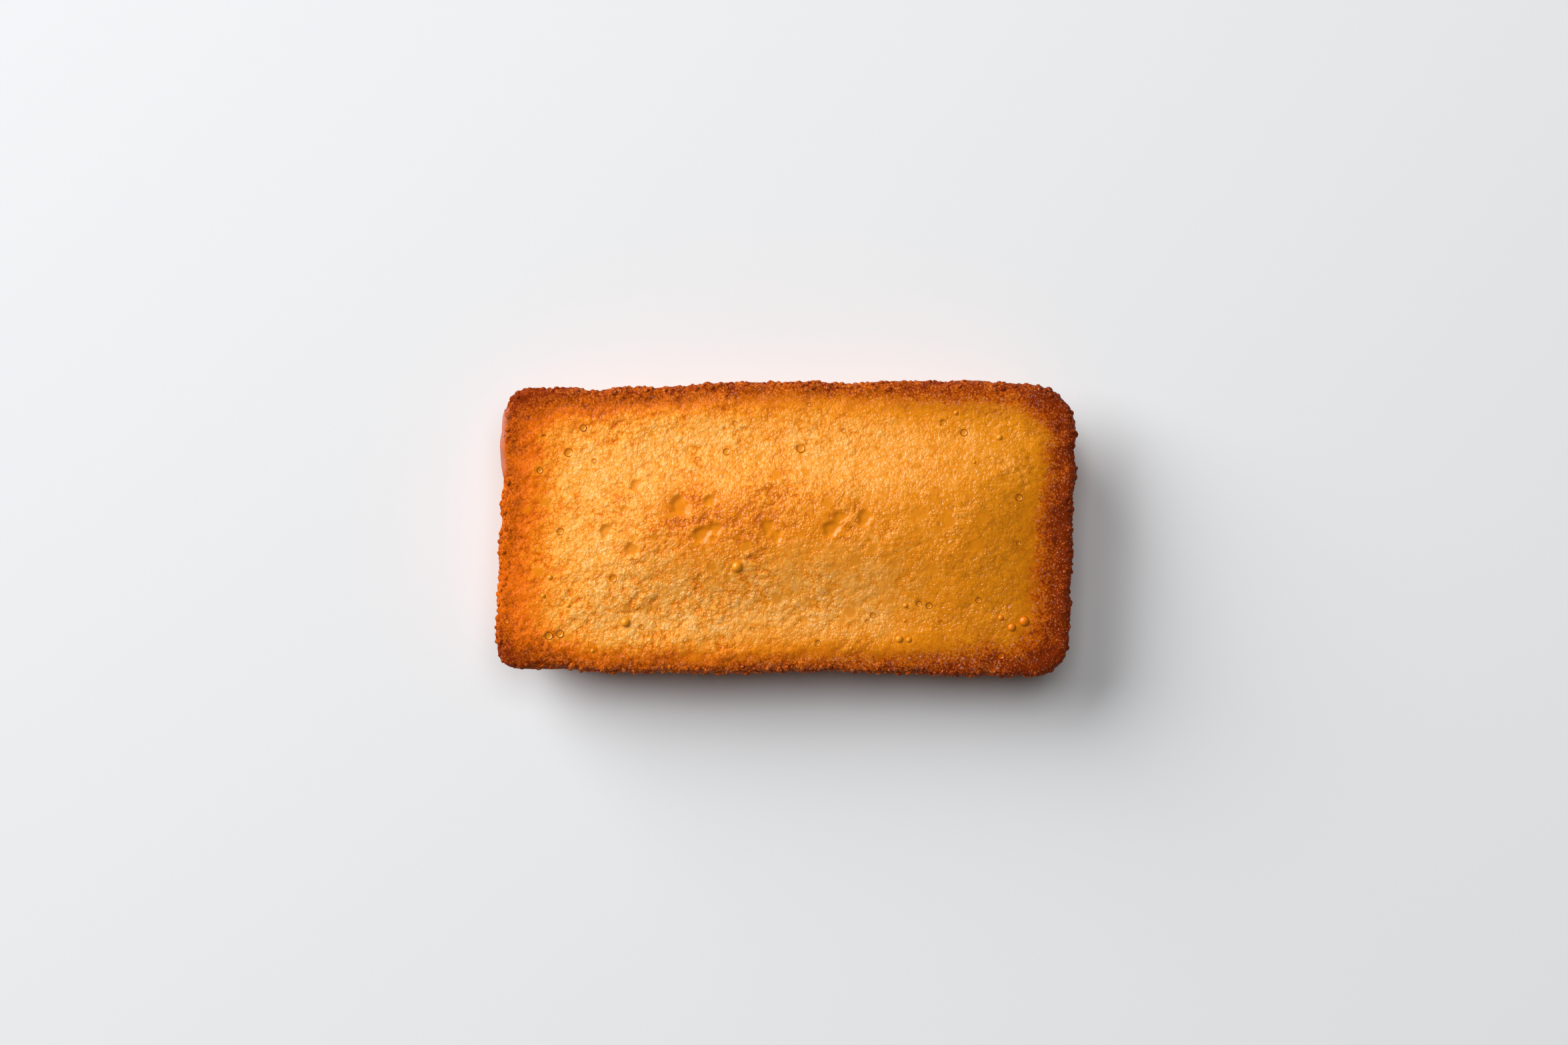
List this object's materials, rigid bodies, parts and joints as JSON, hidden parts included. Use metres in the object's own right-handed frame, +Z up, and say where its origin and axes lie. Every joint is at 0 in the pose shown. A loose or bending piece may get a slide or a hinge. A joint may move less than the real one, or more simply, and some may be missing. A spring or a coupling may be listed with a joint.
{
  "type": "financier cake",
  "caption": "Small rectangular almond cake with sloping sides, a flat base, rounded corners, a browned craggy rim and a low pitted hump along the top.",
  "frame": {"origin": "middle of the cake's outline, on the plane of its flat base", "axes": "+X along the cake's length, +Y across it, +Z up out of the baked top"},
  "size_m": [0.085, 0.0434, 0.0161],
  "materials": {
    "crust": "golden baked crumb, browned at the rim, with a slight butter sheen"
  },
  "bodies": {
    "root": {"cake": "crust"}
  },
  "joints": []
}
